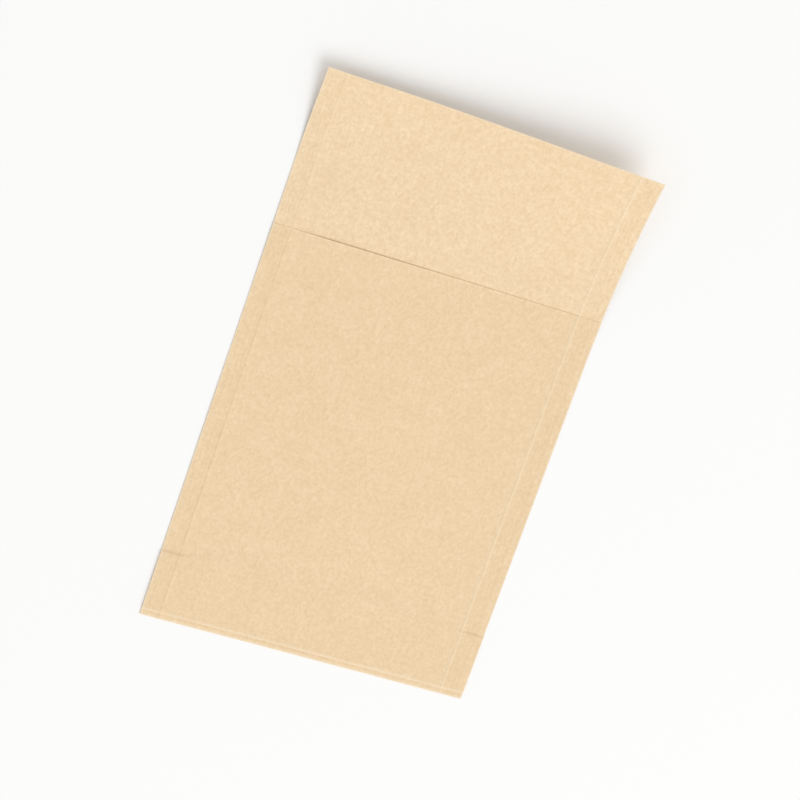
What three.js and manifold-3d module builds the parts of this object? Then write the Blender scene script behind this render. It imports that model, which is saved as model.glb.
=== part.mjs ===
// A flat, empty filter bag for loose tea, lying on its back as it comes out of the pack.
// One web of thin paper is folded twice at the bottom, with a gusset tucked in between, and its
// front stops short of its back, so a single sheet stands past the mouth as a flap. A crimped
// seam down each side fuses the sheets together. Millimetres, +Z up, +Y from bottom to flap.
import * as THREE from 'three';
import { mergeVertices } from 'three/addons/utils/BufferGeometryUtils.js';
import Module from 'manifold-3d';

// Driving sizes of the folded bag
const bagWidth = 100; // between the two cut side edges
const bagLength = 168; // from the back's bottom fold to the flap's top edge, before it curls
const flapLength = 47; // single sheet past the mouth
const gussetDepth = 20; // how far the bottom is tucked in between front and back
const frontFoldSetback = 1.8; // the front's bottom fold lies this far above the back's
const paperThickness = 0.1;
const pressedAir = 0.06; // air between sheets that lie pressed together

// Seams
const seamMargin = 2.1; // loose paper outside each crimped band
const leftSeamWidth = 3.5;
const rightSeamWidth = 4.9;
const seamEndInset = 0.5; // the crimp stops this short of the front's fold and free edge
const creaseHeight = 0.15; // ridge that the crimp leaves along its inner border
const creaseHalfWidth = 0.6;

// How far the front stands off the back between the seams. Places across the bag are taken from
// its middle line.
const pocketLoft = 0.3;
const loftRise = 40; // the loft is whole this far above the bottom
const loftCentre = -10;
const loftFall = 30; // it sinks again over this length below the mouth
const loftLeftAtMouth = 0.2; // share of the loft
const mouthLift = 0.22; // added at the free edge, which stands up most near the left seam
const mouthLiftReach = 12; // down from the mouth
const mouthLiftCentre = -32;
const mouthLiftEnd = 12; // across the bag

// The free end curls up from a line that runs askew, so one corner lifts the most
const curlRadius = 125;
const curlReach = 45; // curled length on the middle line
const curlSkew = 15.5; // degrees between the curl's line and the top edge

// Fineness of the surface
const rowStep = 7;
const columnStep = 8;
const rowGap = 0.5; // least distance between two rows
const foldSegments = 6;
const gussetStepLength = 5; // over which the front comes down from four sheets to two
const gussetStepRows = 4;

const sheetPitch = paperThickness + pressedAir;
const foldRadius = sheetPitch / 2; // of a fold's middle line
const foldReach = foldRadius + paperThickness / 2;
const mouthY = bagLength - flapLength;
const leftEdge = -bagWidth / 2;
const rightEdge = bagWidth / 2;
const leftSeamOuter = leftEdge + seamMargin;
const rightSeamOuter = rightEdge - seamMargin;
const leftCrease = leftSeamOuter + leftSeamWidth;
const rightCrease = rightSeamOuter - rightSeamWidth;

// Rises smoothly from 0 at start to 1 at end
function ease(start, end, value) {
  return THREE.MathUtils.smoothstep(value, start, end);
}

// Numbers from start to end in equal steps of about the given length
function spread(start, end, step) {
  const count = Math.max(1, Math.round((end - start) / step));
  return Array.from({ length: count + 1 }, (_, i) => start + ((end - start) * i) / count);
}

// Rises from 0 beside the left seam to 1 at the peak, and falls to 0 at end
function hump(peak, end, x) {
  return x < peak ? ease(leftCrease + creaseHalfWidth, peak, x) : 1 - ease(peak, end, x);
}

// Extra air in the pocket at a point of the front
function pocketAir(x, y) {
  const sunk = (1 - loftLeftAtMouth) * ease(mouthY - loftFall, mouthY, y);
  const loft = pocketLoft * ease(0, loftRise, y) * (1 - sunk);
  const lift = mouthLift * ease(mouthY - mouthLiftReach, mouthY, y);
  const across = hump(loftCentre, rightCrease - creaseHalfWidth, x);
  return loft * across + lift * hump(mouthLiftCentre, mouthLiftEnd, x);
}

// Ridge along the inner border of each crimped band, the same in every sheet
function crease(x) {
  const ridge = (at) => Math.max(0, 1 - Math.abs(x - at) / creaseHalfWidth);
  return creaseHeight * (ridge(leftCrease) + ridge(rightCrease));
}

// Heights of the four sheets' middle planes: the gusset's two leaves lie between back and front
function backZ(x) {
  return paperThickness / 2 + crease(x);
}

function rearLeafZ(x, y) {
  return backZ(x) + sheetPitch + pocketAir(x, y) / 2;
}

function frontLeafZ(x, y) {
  return rearLeafZ(x, y) + sheetPitch;
}

function frontZ(x, y) {
  const overGusset = 1 - ease(gussetDepth, gussetDepth + gussetStepLength, y);
  return backZ(x) + sheetPitch * (1 + 2 * overGusset) + pocketAir(x, y);
}

// Distances up the bag at which every sheet has a row of points
const rows = [
  ...spread(0, gussetDepth, rowStep),
  ...spread(gussetDepth, gussetDepth + gussetStepLength, gussetStepLength / gussetStepRows),
  ...spread(gussetDepth + gussetStepLength, mouthY, rowStep),
  ...spread(mouthY, bagLength, rowStep),
];

function rowsBetween(start, end) {
  const inner = rows.filter((y, i) => y > start + rowGap && y < end - rowGap && y !== rows[i - 1]);
  return [start, ...inner, end];
}

const creaseColumns = (at) => [at - creaseHalfWidth, at, at + creaseHalfWidth];
const columns = [
  leftEdge,
  leftSeamOuter,
  ...creaseColumns(leftCrease),
  ...spread(leftCrease + creaseHalfWidth, rightCrease - creaseHalfWidth, columnStep).slice(1, -1),
  ...creaseColumns(rightCrease),
  rightSeamOuter,
  rightEdge,
];

// Half turn of a fold between two sheets, bulging towards -Y or +Y, without its two ends
function foldPoints(centreY, lowZ, highZ, side) {
  const radius = (highZ - lowZ) / 2;
  return Array.from({ length: foldSegments - 1 }, (_, i) => {
    const angle = (Math.PI * (i + 1)) / foldSegments;
    return [centreY + side * radius * Math.sin(angle), lowZ + radius * (1 - Math.cos(angle))];
  });
}

// The web's middle line at x, as [y, z] points: down the back, round the back's bottom fold, up
// the rear leaf, round the gusset's tip, down the front leaf, round the front's bottom fold and
// up the front to its free edge
function webLine(x) {
  const backFoldY = foldReach;
  const frontFoldY = frontFoldSetback + foldReach;
  const tipY = gussetDepth - foldReach;
  const backRows = rowsBetween(backFoldY, bagLength).reverse();
  const rearRows = rowsBetween(backFoldY, tipY);
  const leafRows = rowsBetween(frontFoldY, tipY).reverse();
  const frontRows = rowsBetween(frontFoldY, mouthY);
  return [
    ...backRows.map((y) => [y, backZ(x)]),
    ...foldPoints(backFoldY, backZ(x), rearLeafZ(x, backFoldY), -1),
    ...rearRows.map((y) => [y, rearLeafZ(x, y)]),
    ...foldPoints(tipY, rearLeafZ(x, tipY), frontLeafZ(x, tipY), 1),
    ...leafRows.map((y) => [y, frontLeafZ(x, y)]),
    ...foldPoints(frontFoldY, frontLeafZ(x, frontFoldY), frontZ(x, frontFoldY), -1),
    ...frontRows.map((y) => [y, frontZ(x, y)]),
  ];
}

// A point of a line, moved half a sheet off it: side 1 is the bag's outside, -1 its inside
function offLine(line, i, side) {
  const before = line[Math.max(0, i - 1)];
  const after = line[Math.min(line.length - 1, i + 1)];
  const run = new THREE.Vector2(after[0] - before[0], after[1] - before[1]).normalize();
  const half = (side * paperThickness) / 2;
  return [line[i][0] - run.y * half, line[i][1] + run.x * half];
}

// Rolls the free end up: points past the curl's line wind round a level cylinder above it
function curl(x, y, z) {
  const skew = THREE.MathUtils.degToRad(curlSkew);
  const past = (y - (bagLength - curlReach)) * Math.cos(skew) + x * Math.sin(skew);
  if (past <= 0) return new THREE.Vector3(x, y, z);
  const angle = past / curlRadius;
  const moved = (curlRadius - z) * Math.sin(angle) - past;
  const lifted = curlRadius - (curlRadius - z) * Math.cos(angle);
  return new THREE.Vector3(x + moved * Math.sin(skew), y + moved * Math.cos(skew), lifted);
}

// Closed solid between two grids of points of the same size. The outer grid's rows and columns
// turn so that their cross product, columns by rows, points away from the inner grid.
function slab(outer, inner) {
  const rowCount = outer.length;
  const width = outer[0].length;
  const points = [...outer.flat(), ...inner.flat()];
  const at = (i, j, layer) => layer * rowCount * width + i * width + j;
  const index = [];
  for (let i = 0; i < rowCount - 1; i++) {
    for (let j = 0; j < width - 1; j++) {
      index.push(at(i, j, 0), at(i, j + 1, 0), at(i + 1, j, 0));
      index.push(at(i, j + 1, 0), at(i + 1, j + 1, 0), at(i + 1, j, 0));
      index.push(at(i, j, 1), at(i + 1, j, 1), at(i, j + 1, 1));
      index.push(at(i, j + 1, 1), at(i + 1, j, 1), at(i + 1, j + 1, 1));
    }
  }
  const rim = (a, b) => {
    index.push(at(...b, 0), at(...a, 0), at(...a, 1));
    index.push(at(...b, 0), at(...a, 1), at(...b, 1));
  };
  for (let j = 0; j < width - 1; j++) {
    rim([0, j], [0, j + 1]);
    rim([rowCount - 1, j + 1], [rowCount - 1, j]);
  }
  for (let i = 0; i < rowCount - 1; i++) {
    rim([i, width - 1], [i + 1, width - 1]);
    rim([i + 1, 0], [i, 0]);
  }
  const geometry = new THREE.BufferGeometry().setFromPoints(points);
  geometry.setIndex(index);
  return geometry;
}

// The folded web, over the bag's whole width
function webGeometry() {
  const lines = columns.map((x) => webLine(x));
  const face = (side) =>
    lines[0].map((_, i) => columns.map((x, j) => curl(x, ...offLine(lines[j], i, side))));
  return slab(face(1), face(-1));
}

// What fuses the sheets in a crimped band: it fills the air from inside the back to inside the
// front, so that the sheets it joins are one body there
function seamGeometry(fromX, toX) {
  const seamColumns = columns.filter((x) => x >= fromX && x <= toX);
  const seamRows = rowsBetween(
    frontFoldSetback + foldReach + seamEndInset,
    mouthY - seamEndInset,
  );
  const face = (height) => seamRows.map((y) => seamColumns.map((x) => curl(x, y, height(x, y))));
  return slab(face(frontZ), face(backZ));
}

const wasm = await Module();
wasm.setup();

function solidOf(geometry) {
  const merged = mergeVertices(geometry);
  const vertProperties = Float32Array.from(merged.attributes.position.array);
  const triVerts = Uint32Array.from(merged.index.array);
  return new wasm.Manifold(new wasm.Mesh({ numProp: 3, vertProperties, triVerts }));
}

// Back to a geometry, with its origin under the middle of its box
function centredGeometry(solid) {
  const { vertProperties, triVerts } = solid.getMesh();
  const geometry = new THREE.BufferGeometry();
  geometry.setAttribute('position', new THREE.BufferAttribute(vertProperties, 3));
  geometry.setIndex(new THREE.BufferAttribute(triVerts, 1));
  geometry.computeBoundingBox();
  const middle = geometry.boundingBox.getCenter(new THREE.Vector3());
  geometry.translate(-middle.x, -middle.y, -geometry.boundingBox.min.z);
  geometry.computeVertexNormals();
  return geometry;
}

const filterPaper = new THREE.MeshStandardMaterial({
  color: '#efd8b5',
  roughness: 0.92,
  metalness: 0,
  flatShading: true,
});

const leftSeam = solidOf(seamGeometry(leftSeamOuter, leftCrease));
const rightSeam = solidOf(seamGeometry(rightCrease, rightSeamOuter));
const bagSolid = solidOf(webGeometry()).add(leftSeam).add(rightSeam);
const filterBag = new THREE.Mesh(centredGeometry(bagSolid), filterPaper);
filterBag.name = 'filter_bag';

const teaFilterBag = new THREE.Group();
teaFilterBag.add(filterBag);

export default teaFilterBag;
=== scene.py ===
import math
import bpy
import numpy as np
from mathutils import Matrix, Vector


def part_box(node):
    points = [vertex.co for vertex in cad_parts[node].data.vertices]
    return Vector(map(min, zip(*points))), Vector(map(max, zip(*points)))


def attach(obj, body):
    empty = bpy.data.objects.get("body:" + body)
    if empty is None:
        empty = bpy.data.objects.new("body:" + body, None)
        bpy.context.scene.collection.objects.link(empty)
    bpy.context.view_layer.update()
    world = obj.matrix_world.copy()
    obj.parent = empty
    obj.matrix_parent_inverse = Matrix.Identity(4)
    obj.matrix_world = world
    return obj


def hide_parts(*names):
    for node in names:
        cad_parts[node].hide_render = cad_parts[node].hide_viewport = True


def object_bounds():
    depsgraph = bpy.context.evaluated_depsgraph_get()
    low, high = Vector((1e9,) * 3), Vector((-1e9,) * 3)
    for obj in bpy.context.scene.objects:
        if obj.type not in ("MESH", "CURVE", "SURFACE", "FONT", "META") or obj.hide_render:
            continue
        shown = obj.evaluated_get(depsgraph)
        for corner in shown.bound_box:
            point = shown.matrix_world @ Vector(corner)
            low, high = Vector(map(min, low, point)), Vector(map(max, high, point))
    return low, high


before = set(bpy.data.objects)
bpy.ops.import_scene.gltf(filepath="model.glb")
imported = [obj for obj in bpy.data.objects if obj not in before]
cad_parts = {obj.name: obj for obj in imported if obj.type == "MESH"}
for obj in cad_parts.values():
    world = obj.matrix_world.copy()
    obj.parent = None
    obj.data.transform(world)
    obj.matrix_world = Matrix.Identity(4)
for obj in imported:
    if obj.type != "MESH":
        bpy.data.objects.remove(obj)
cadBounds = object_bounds()
print("frame loaded:", sorted(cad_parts))


# Puts a new object with the given data into the scene
def addObject(name, data):
    made = bpy.data.objects.new(name, data)
    bpy.context.scene.collection.objects.link(made)
    return made


# Camera, high above the bag's upper left and turned so that the bag leans to the right

cameraPlan = {
    "place": (-0.197, 0.177, 0.742),  # from the middle of the bag
    "lens": 125.0,
    "lean": 16.5,  # degrees that the bag leans clockwise in the picture
}


# Looks at the bag's middle, with a level line at the lean's angle running across the picture
def makeCamera(plan):
    camera = addObject("camera", bpy.data.cameras.new("camera"))
    lean = math.radians(plan["lean"])
    backward = Vector(plan["place"]).normalized()
    upward = backward.cross(Vector((math.cos(lean), math.sin(lean), 0))).normalized()
    turned = Matrix((upward.cross(backward), upward, backward)).transposed()
    camera.data.lens = plan["lens"]
    camera.location = (cadBounds[0] + cadBounds[1]) / 2 + Vector(plan["place"])
    camera.rotation_euler = turned.to_euler()
    bpy.context.scene.camera = camera


makeCamera(cameraPlan)
print("camera placed")


# The bag in metres: one web of paper, folded and crimped

bagShape = {
    "width": 0.100,
    "length": 0.168,  # laid flat, from the back's bottom fold to the flap's top edge
    "flap": 0.047,
    "gusset": 0.020,
    "frontSetback": 0.0018,  # the front's bottom fold lies above the back's
    "paper": 0.0001,
    "air": 0.00006,  # between sheets that lie pressed together
    "crimpPress": 0.00005,  # of that air, what the crimp squeezes out
    "seamMargin": 0.0021,
    "leftSeam": 0.0035,
    "rightSeam": 0.0049,
    "seamSoft": 0.0006,  # over which the crimp begins and ends
    "crease": 0.00015,  # height of the ridge along a seam's inner border
    "creaseWidth": 0.00036,  # from its top to where it is down to about a third
    "outerCrease": 0.4,  # share of its height along the outer border
    "leftCrease": 0.5,  # share of both heights along the left seam of the flap
    "creaseFade": 0.090,  # below the mouth, over which the left ridges come down to that share
    "gussetStep": 0.0008,  # over which a seam comes down from four sheets to two
    "gussetSlope": 0.0072,  # and over which the front comes down between the seams
    "gussetBlend": 0.012,  # in from the seams, over which the step turns into the slope
    "loft": 0.0003,  # air between front and back
    "loftRise": 0.040,  # over which it grows from the bottom
    "loftCentre": -0.010,
    "mouthFall": 0.030,  # over which it sinks towards the mouth
    "mouthLoft": 0.2,  # share of it that is left there
    "mouthLift": 0.00022,  # the free edge stands up most near the left seam
    "mouthReach": 0.012,
    "mouthCentre": -0.032,
    "mouthEnd": 0.012,
    "curlRadius": 0.125,
    "curlReach": 0.045,  # curled length on the middle line
    "curlSkew": 15.5,  # degrees between the curl's line and the top edge
    "bodyWave": 0.00012,  # rise of the slow waves in the paper below the mouth
    "flapWave": 0.00055,  # and what is added to it up the flap
    "waves": 7,
    "shortestWave": 0.030,
    "longestWave": 0.085,
    "waveSeed": 11,
    "foldHighlightReach": 0.0004,  # reach of the painted highlight along the back's and the front's bottom fold
    "creaseHighlight": 0.0008,  # and of the painted highlight along the right seam's inner border
    "creaseHighlightShare": 0.35,  # how bright that painted highlight is beside a fold's
    "row": 0.0009,  # step of the mesh up the bag
    "stepRow": 0.00016,  # and past the gusset's tip
    "column": 0.0019,
    "creaseColumns": 13,
    "creaseReach": 0.0012,  # to either side of a ridge, where its columns lie
    "foldSteps": 8,
    "sharpAngle": 50.0,  # edges that bend more than this stay sharp
}

halfWidth = bagShape["width"] / 2
mouthY = bagShape["length"] - bagShape["flap"]
sheetPitch = bagShape["paper"] + bagShape["air"]
foldReach = (sheetPitch + bagShape["paper"]) / 2
leftOuter = -halfWidth + bagShape["seamMargin"]
rightOuter = halfWidth - bagShape["seamMargin"]
leftInner = leftOuter + bagShape["leftSeam"]
rightInner = rightOuter - bagShape["rightSeam"]


# 0 below start, 1 above end, and between them three times the share squared less twice its cube
def ease(start, end, value):
    share = np.clip((value - start) / (end - start), 0, 1)
    return share * share * (3 - 2 * share)


# Bell round a place: e to minus the square of the distance over the width
def bell(place, width, value):
    return np.exp(-(((value - place) / width) ** 2))


# 1 inside either crimped band and 0 outside: a rise past its one border times a fall past the other
def crimped(x):
    soft = bagShape["seamSoft"] / 2

    def past(border):
        return ease(border - soft, border + soft, x)

    return past(leftOuter) * (1 - past(leftInner)) + past(rightInner) * (1 - past(rightOuter))


# Height that the crimp leaves in every sheet: a bell along each band's inner border and a lower
# one along its outer border, the left ones fading towards the mouth
def creaseHeight(x, y):
    def ridges(inner, outer):
        width = bagShape["creaseWidth"]
        return bell(inner, width, x) + bagShape["outerCrease"] * bell(outer, width, x)

    faded = (1 - bagShape["leftCrease"]) * ease(mouthY - bagShape["creaseFade"], mouthY, y)
    both = (1 - faded) * ridges(leftInner, leftOuter) + ridges(rightInner, rightOuter)
    return bagShape["crease"] * both


# Slow waves of the paper: a half plus the mean of cosines in chance directions, and never under 0
def cockle(x, y):
    chance = np.random.default_rng(bagShape["waveSeed"])
    total = 0 * x * y
    for _ in range(bagShape["waves"]):
        angle = chance.uniform(0, math.pi)
        length = chance.uniform(bagShape["shortestWave"], bagShape["longestWave"])
        phase = chance.uniform(0, 2 * math.pi)
        along = x * math.cos(angle) + y * math.sin(angle)
        total = total + np.cos(2 * math.pi * along / length + phase)
    return np.clip(0.5 + total / bagShape["waves"], 0, None)


# Height of the whole stack off the floor: the waves times their rise, which grows up the flap
def stackRise(x, y):
    reach = ease(mouthY - bagShape["flap"] / 2, bagShape["length"], y)
    return (bagShape["bodyWave"] + bagShape["flapWave"] * reach) * cockle(x, y)


# A rise from 0 at the left seam to 1 at the peak, times a fall from there to 0 at end
def hump(peak, end, x):
    return ease(leftInner + bagShape["seamSoft"], peak, x) * (1 - ease(peak, end, x))


# Air between front and back: the loft, which rises from the bottom and sinks towards the mouth,
# and the lift of the free edge, each times its own hump across the bag
def pocketAir(x, y):
    sunk = (1 - bagShape["mouthLoft"]) * ease(mouthY - bagShape["mouthFall"], mouthY, y)
    loft = bagShape["loft"] * ease(0, bagShape["loftRise"], y) * (1 - sunk)
    lift = bagShape["mouthLift"] * ease(mouthY - bagShape["mouthReach"], mouthY, y)
    across = hump(bagShape["loftCentre"], rightInner - bagShape["seamSoft"], x)
    return loft * across + lift * hump(bagShape["mouthCentre"], bagShape["mouthEnd"], x)


# Height of the back's middle plane: half a sheet, the crimp's ridges and the rise of the waves
def backHeight(x, y):
    return bagShape["paper"] / 2 + creaseHeight(x, y) + stackRise(x, y)


# The gusset's rear leaf: one pitch above the back, and half of the pocket's air
def rearLeafHeight(x, y):
    return backHeight(x, y) + sheetPitch + pocketAir(x, y) / 2


# The gusset's front leaf: one pitch above the rear one
def frontLeafHeight(x, y):
    return rearLeafHeight(x, y) + sheetPitch


# The front: the pocket's air and three pitches above the back, which come down to one past the
# gusset's tip, less what the crimp presses out. They come down steeply in the seams and gently
# between them.
def frontHeight(x, y):
    soft = bagShape["gussetBlend"]
    between = ease(leftInner, leftInner + soft, x) * (1 - ease(rightInner - soft, rightInner, x))
    reach = bagShape["gussetStep"] + (bagShape["gussetSlope"] - bagShape["gussetStep"]) * between
    past = ease(0, 1, (y - bagShape["gusset"]) / reach)
    pressed = bagShape["crimpPress"] * crimped(x) * past
    return backHeight(x, y) + sheetPitch * (3 - 2 * past) - pressed + pocketAir(x, y)


# Even steps from start to end, both included
def steps(start, end, step):
    return np.linspace(start, end, max(2, round(abs(end - start) / step) + 1))


# Places across the bag: fine steps over each ridge, wider ones between, and no two nearer than
# the paper's thickness
def columnPlaces():
    reach = bagShape["creaseReach"]
    ridges = [leftOuter, leftInner, rightInner, rightOuter]
    pieces = [np.linspace(at - reach, at + reach, bagShape["creaseColumns"]) for at in ridges]
    middle = steps(leftInner + reach, rightInner - reach, bagShape["column"])
    places = np.sort(np.concatenate([[-halfWidth, halfWidth], *pieces, middle]))
    places = places[(places >= -halfWidth) & (places <= halfWidth)]
    return places[np.r_[True, np.diff(places) > bagShape["paper"]]]


# Half circle from one sheet to the next round a level line, bulging to side -1 or 1 along Y,
# without its two ends
def halfTurn(x, centreY, low, high, side):
    angle = np.linspace(0, math.pi, bagShape["foldSteps"] + 1)[1:-1, None]
    radius = (high - low) / 2
    return centreY + side * radius * np.sin(angle), low + radius * (1 - np.cos(angle))


# Middle line of the web for every column at once: down the back, round the back's fold, up the
# rear leaf, round the gusset's tip, down the front leaf, round the front's fold, up the front.
# Gives the number of the middle row of each fold too.
def webLines(x):
    step = bagShape["row"]
    stepRow = bagShape["stepRow"]
    stepEnd = bagShape["gusset"] + 2 * bagShape["gussetStep"]  # the fine rows run well past it
    backFold = foldReach
    frontFold = bagShape["frontSetback"] + foldReach
    tip = bagShape["gusset"] - foldReach
    runs = []
    folds = []

    def sheet(height, start, end, pitch=step):
        y = steps(start, end, pitch)[:, None] + 0 * x
        runs.append((y, height(x, y)))

    def turn(centreY, low, high, side):
        y, z = halfTurn(x, centreY, low(x, centreY), high(x, centreY), side)
        folds.append(sum(len(run[0]) for run in runs) + len(y) // 2)
        runs.append((y, z))

    sheet(backHeight, bagShape["length"], mouthY)
    sheet(backHeight, mouthY - step, backFold)
    turn(backFold, backHeight, rearLeafHeight, -1)
    sheet(rearLeafHeight, backFold, tip)
    turn(tip, rearLeafHeight, frontLeafHeight, 1)
    sheet(frontLeafHeight, tip, frontFold)
    turn(frontFold, frontLeafHeight, frontHeight, -1)
    sheet(frontHeight, frontFold, bagShape["gusset"] - stepRow)
    sheet(frontHeight, bagShape["gusset"], stepEnd, stepRow)
    sheet(frontHeight, stepEnd + step, mouthY)
    y = np.concatenate([run[0] for run in runs])
    z = np.concatenate([run[1] for run in runs])
    return y, z, folds


# Winds what lies past the curl's line round a level cylinder above it: a point's distance past
# the line becomes an arc, and its height brings it nearer the cylinder's axis
def curl(x, y, z):
    radius = bagShape["curlRadius"]
    skew = math.radians(bagShape["curlSkew"])
    start = bagShape["length"] - bagShape["curlReach"]
    past = np.maximum((y - start) * math.cos(skew) + x * math.sin(skew), 0)
    angle = past / radius
    moved = (radius - z) * np.sin(angle) - past
    lifted = np.where(past > 0, radius - (radius - z) * np.cos(angle), z)
    return np.stack([x + moved * math.sin(skew), y + moved * math.cos(skew), lifted], -1)


# Quads of a grid of rows by columns whose first point has the given number
def gridQuads(rows, columns, first):
    corner = first + np.arange(rows - 1)[:, None] * columns + np.arange(columns - 1)
    return np.stack([corner, corner + 1, corner + columns + 1, corner + columns], -1).reshape(-1, 4)


# Closed shell of the folded web: its middle lines moved half a sheet out and half a sheet in,
# square to their run, and curled, with the two grids joined along their rim
def closedShell(across, y, z):
    runY = np.gradient(y, axis=0)
    runZ = np.gradient(z, axis=0)
    length = np.hypot(runY, runZ)
    halfSheet = bagShape["paper"] / 2
    outY = -runZ / length * halfSheet
    outZ = runY / length * halfSheet
    faces = [curl(across, y + side * outY, z + side * outZ) for side in (1, -1)]
    rows, columns = y.shape
    count = rows * columns
    outer = gridQuads(rows, columns, 0)
    inner = gridQuads(rows, columns, count)[:, ::-1]
    number = np.arange(count).reshape(rows, columns)
    ring = np.concatenate([number[0], number[1:, -1], number[-1, -2::-1], number[-2:0:-1, 0]])
    after = np.roll(ring, -1)
    rim = np.stack([after, ring, ring + count, after + count], -1)
    points = np.concatenate([face.reshape(-1, 3) for face in faces])
    return points, np.concatenate([outer, inner, rim])


# Moves points to where the frame has the bag: their middle to its middle across, their bottom
# fold to its bottom end and their underside to its underside
def seated(points):
    low = points.min(0)
    high = points.max(0)
    cadLow, cadHigh = (np.array(corner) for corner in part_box("filter_bag"))
    middle = (cadLow[0] + cadHigh[0] - low[0] - high[0]) / 2
    return points + np.array([middle, cadLow[1] - low[1], cadLow[2] - low[2]])


# Gives both faces of the sheet the same values
def addAttribute(mesh, name, kind, field, values):
    both = np.concatenate([values, values]).astype(np.float32)
    mesh.attributes.new(name, kind, "POINT").data.foreach_set(field, both.ravel())


# The bag, with what its finish reads at each point: its place in the flat web, how many sheets
# lie there, the crimp, and the painted highlight: a bell along the two outer folds and the right
# seam's inner border
def makeBag():
    x = columnPlaces()
    y, z, folds = webLines(x)
    across = x + 0 * y
    points, quads = closedShell(across, y, z)
    mesh = bpy.data.meshes.new("filter_bag_paper")
    mesh.from_pydata(seated(points).tolist(), [], quads.tolist())
    mesh.polygons.foreach_set("use_smooth", np.ones(len(quads), bool))
    mesh.set_sharp_from_angle(angle=math.radians(bagShape["sharpAngle"]))

    middle = len(x) // 2
    pieces = np.hypot(np.diff(y[:, middle]), np.diff(z[:, middle]))
    along = np.concatenate([[0], np.cumsum(pieces)])
    place = np.stack([across, along[:, None] + 0 * across, 0 * across], -1)
    pastTip = ease(-bagShape["paper"], bagShape["paper"], y - bagShape["gusset"])
    layers = 1 + (y < mouthY) + 2 * (1 - pastTip)
    backFoldHighlight, _, frontFoldHighlight = (bell(along[fold], bagShape["foldHighlightReach"], along) for fold in folds)
    creaseHighlight = bagShape["creaseHighlightShare"] * bell(rightInner, bagShape["creaseHighlight"], across)
    addAttribute(mesh, "webPlace", "FLOAT_VECTOR", "vector", place)
    addAttribute(mesh, "layers", "FLOAT", "value", layers)
    addAttribute(mesh, "crimp", "FLOAT", "value", crimped(across))
    addAttribute(mesh, "paintedHighlightLines", "FLOAT", "value", (backFoldHighlight + frontFoldHighlight)[:, None] + creaseHighlight)
    return addObject("filter_bag_paper", mesh)


# A number's socket, so that maths on it is written as Python
class Socket:
    def __init__(self, graph, socket):
        self.graph = graph
        self.socket = socket

    def maths(self, operation, first, second):
        return self.graph.node("ShaderNodeMath", {"operation": operation}, {0: first, 1: second})

    def __add__(self, other):
        return self.maths("ADD", self, other)

    def __sub__(self, other):
        return self.maths("SUBTRACT", self, other)

    def __rsub__(self, other):
        return self.maths("SUBTRACT", other, self)

    def __mul__(self, other):
        return self.maths("MULTIPLY", self, other)

    __radd__ = __add__
    __rmul__ = __mul__


# The node tree of a material or of the world
class Graph:
    def __init__(self, owner):
        owner.use_nodes = True
        self.owner = owner
        self.tree = owner.node_tree
        self.tree.nodes.clear()

    # Makes a node: its settings first, then its sockets' values or links
    def node(self, kind, settings, inputs, output=0):
        made = self.tree.nodes.new(kind)
        for name, value in settings.items():
            setattr(made, name, value)
        for name, value in inputs.items():
            if isinstance(value, Socket):
                self.tree.links.new(value.socket, made.inputs[name])
            else:
                made.inputs[name].default_value = value
        return None if output is None else Socket(self, made.outputs[output])

    def attribute(self, name, output):
        return self.node("ShaderNodeAttribute", {"attribute_name": name}, {}, output)

    # Rises from 0 at low to 1 at high
    def band(self, value, low, high):
        inputs = {"Value": value, "From Min": low, "From Max": high}
        return self.node("ShaderNodeMapRange", {"interpolation_type": "SMOOTHSTEP"}, inputs)

    # The first colour where share is 0 and the second where it is 1
    def blend(self, share, first, second):
        settings = {"data_type": "RGBA", "clamp_factor": True}
        return self.node("ShaderNodeMix", settings, {0: share, 6: first, 7: second}, 2)

    # 1 for what the camera sees directly, in a reflection or through something clear
    def seen(self):
        rays = ("Is Camera Ray", "Is Glossy Ray", "Is Transmission Ray")
        direct, mirrored, through = (self.node("ShaderNodeLightPath", {}, {}, ray) for ray in rays)
        return direct + mirrored + through

    def finish(self, inputs, shader="ShaderNodeBsdfPrincipled", output="ShaderNodeOutputMaterial"):
        self.node(output, {}, {"Surface": self.node(shader, {}, inputs)}, None)
        return self.owner


# A screen colour of 0 to 255 as the shader's own numbers, by the usual curve for parts this pale
def screenColour(*parts):
    return tuple(((part / 255 + 0.055) / 1.055) ** 2.4 for part in parts) + (1,)


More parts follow.
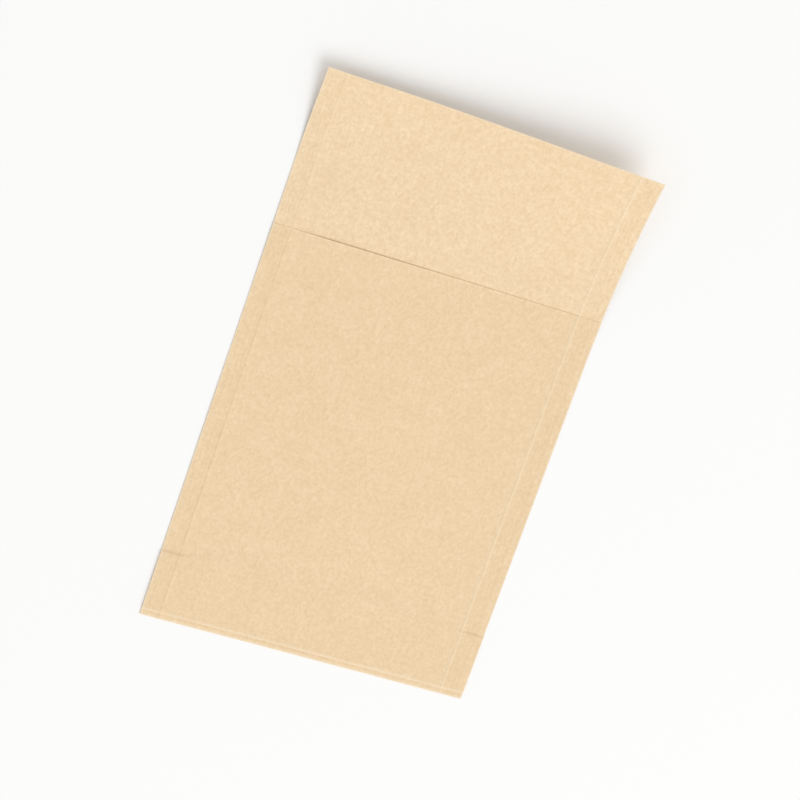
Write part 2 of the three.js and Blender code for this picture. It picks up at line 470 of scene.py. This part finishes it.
paperFinish = {
    # Tone by sheet count is painted see-through light: palest in the flap's one sheet, where the pale
    # floor would show through, and deeper where more sheets lie
    "oneSheet": screenColour(254, 229, 193),
    "twoSheets": screenColour(249, 223, 186),
    "fourSheets": screenColour(248, 222, 184),
    "dim": screenColour(222, 191, 147),  # where the pulp is dense
    "clouds": {"Scale": 110.0, "Detail": 2.0},  # noise, with its scale to a metre
    "cloudRange": (0.35, 0.70),  # of that noise, from none to all
    "cloudShare": 0.10,
    "flocks": {"Scale": 420.0, "Detail": 2.0},
    "flockRange": (0.36, 0.66),
    "flockShare": 0.16,
    "mottle": {"Scale": 900.0, "Detail": 3.0, "Roughness": 0.6},
    "mottleRange": (0.30, 0.72),
    "mottleShare": 0.38,
    "fibres": {"Scale": 1.0, "Detail": 1.0, "Distortion": 0.4},
    "fibreRange": (0.56, 0.72),
    "fibreShare": 0.225,
    "fibresAcross": 7500.0,  # to a metre
    "fibresAlong": 320.0,
    "fibreAngles": (-28.0, 8.0, 41.0),
    "fibreShift": (0.3, 0.1, 0.05),  # between the noise of one angle and the next
    "crimpShare": 0.04,
    "crimpLines": 850.0,  # to a metre across the seam
    "crimpLineShare": 0.10,
    "paintedHighlight": screenColour(254, 238, 212),  # painted highlight along the cut edges, the two outer folds and the right seam's inner border
    "edgeHighlightWidth": 0.0005,
    "edgeHighlightShare": 0.5,
    # how strongly the painted highlight shows along the folds and the right seam's inner border
    "highlightLineShare": 0.5,
    "roughness": 0.88,
    "mottleRoughness": 0.08,
    "specular": 0.25,
    "mottleBump": 0.5,
    "fibreBump": 0.35,
    "crimpBump": 0.3,
    "bumpStrength": 0.6,
    "bumpDepth": 0.00005,
}


# Unbleached filter paper: tone by how many sheets lie on each other, which is painted see-through
# light, dimmed by the pulp's clouds, flocks and mottle, by thin fibres in three directions and by the
# crimp's fine ribs, with a painted highlight along the cut edges, the two outer folds and the right
# seam's inner border
def makePaper(finish):
    graph = Graph(bpy.data.materials.new("unbleached_filter_paper"))
    place = graph.attribute("webPlace", "Vector")
    layers = graph.attribute("layers", "Fac")
    crimp = graph.attribute("crimp", "Fac")
    highlightLines = graph.attribute("paintedHighlightLines", "Fac")
    across = graph.node("ShaderNodeSeparateXYZ", {}, {0: place}, 0)
    along = graph.node("ShaderNodeSeparateXYZ", {}, {0: place}, 1)

    # Noise spread so that the low end of its span becomes 0 and the high end 1
    def noise(look, span, vector=place):
        inputs = {"Vector": vector, **look}
        made = graph.node("ShaderNodeTexNoise", {"noise_dimensions": "3D"}, inputs)
        return graph.band(made, *span)

    # Noise drawn out along one direction of the web
    def streaks(number, angle):
        inputs = {
            "Vector": place,
            "Location": tuple(number * part for part in finish["fibreShift"]),
            "Rotation": (0, 0, math.radians(angle)),
            "Scale": (finish["fibresAcross"], finish["fibresAlong"], 1),
        }
        turned = graph.node("ShaderNodeMapping", {"vector_type": "POINT"}, inputs)
        return noise(finish["fibres"], finish["fibreRange"], turned)

    clouds = noise(finish["clouds"], finish["cloudRange"])
    flocks = noise(finish["flocks"], finish["flockRange"])
    mottle = noise(finish["mottle"], finish["mottleRange"])
    fibres = sum(streaks(number, angle) for number, angle in enumerate(finish["fibreAngles"]))
    wave = across * (2 * math.pi * finish["crimpLines"])
    lines = crimp * graph.node("ShaderNodeMath", {"operation": "SINE"}, {0: wave})

    # Painted see-through light: paler where fewer sheets lie
    tone = graph.blend(graph.band(layers, 1.0, 2.0), finish["oneSheet"], finish["twoSheets"])
    tone = graph.blend(graph.band(layers, 2.0, 4.0), tone, finish["fourSheets"])
    dimmers = (
        (clouds, "cloudShare"),
        (flocks, "flockShare"),
        (mottle, "mottleShare"),
        (fibres, "fibreShare"),
        (crimp, "crimpShare"),
        (lines, "crimpLineShare"),
    )
    for mask, share in dimmers:
        tone = graph.blend(mask * finish[share], tone, finish["dim"])
    # Painted highlight along the side edges and the back's top edge, then along the two outer folds
    # and the right seam's inner border
    width = finish["edgeHighlightWidth"]
    fromMiddle = graph.node("ShaderNodeMath", {"operation": "ABSOLUTE"}, {0: across})
    edgeHighlight = graph.band(fromMiddle, halfWidth - width, halfWidth) + (1 - graph.band(along, 0.0, width))
    tone = graph.blend(edgeHighlight * finish["edgeHighlightShare"], tone, finish["paintedHighlight"])
    tone = graph.blend(highlightLines * finish["highlightLineShare"], tone, finish["paintedHighlight"])

    height = mottle * finish["mottleBump"] + fibres * finish["fibreBump"] + lines * finish["crimpBump"]
    inputs = {"Height": height, "Strength": finish["bumpStrength"], "Distance": finish["bumpDepth"]}
    return graph.finish(
        {
            "Base Color": tone,
            "Roughness": mottle * finish["mottleRoughness"] + finish["roughness"],
            "Specular IOR Level": finish["specular"],
            "Normal": graph.node("ShaderNodeBump", {}, inputs),
        }
    )


bag = makeBag()
bag.data.materials.append(makePaper(paperFinish))
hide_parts("filter_bag")
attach(bag, "root")
print("bag made:", len(bag.data.polygons), "faces")


# Floor, lamp and world

studio = {
    "floorSize": 6.0,
    "floorGap": 0.00005,  # between the floor and the bag
    "floorColour": (0.95, 0.95, 0.945, 1),
    "floorGlow": (0.045, 0.045, 0.043, 1),  # only in what the camera sees
    "floorRoughness": 0.9,
    "keyPlace": (2.16, -1.90, 3.45),
    "keySize": 3.75,
    "keyPower": 90.0,
    "roomLight": (0.68, 0.68, 0.68, 1),
    "backdrop": (0.97, 0.97, 0.96, 1),  # only in what the camera sees
}


def makeFloor(plan):
    reach = plan["floorSize"] / 2
    z = cadBounds[0].z - plan["floorGap"]
    corners = [(-reach, -reach, z), (reach, -reach, z), (reach, reach, z), (-reach, reach, z)]
    mesh = bpy.data.meshes.new("floor")
    mesh.from_pydata(corners, [], [(0, 1, 2, 3)])
    floor = addObject("floor", mesh)
    graph = Graph(bpy.data.materials.new("pale_floor"))
    mesh.materials.append(
        graph.finish(
            {
                "Base Color": plan["floorColour"],
                "Roughness": plan["floorRoughness"],
                "Specular IOR Level": 0.0,
                "Emission Color": graph.blend(graph.seen(), (0, 0, 0, 1), plan["floorGlow"]),
                "Emission Strength": 1.0,
            }
        )
    )


def makeLights(plan):
    lamp = bpy.data.lights.new("key", "AREA")
    lamp.shape = "DISK"
    lamp.size = plan["keySize"]
    lamp.energy = plan["keyPower"]
    key = addObject("key", lamp)
    key.location = plan["keyPlace"]
    key.rotation_euler = (-Vector(plan["keyPlace"])).to_track_quat("-Z", "Y").to_euler()
    graph = Graph(bpy.data.worlds.new("soft_room"))
    colour = graph.blend(graph.seen(), plan["roomLight"], plan["backdrop"])
    world = graph.finish({"Color": colour}, "ShaderNodeBackground", "ShaderNodeOutputWorld")
    bpy.context.scene.world = world


makeFloor(studio)
makeLights(studio)
bpy.context.scene.view_settings.view_transform = "Standard"
print("floor and lights made")
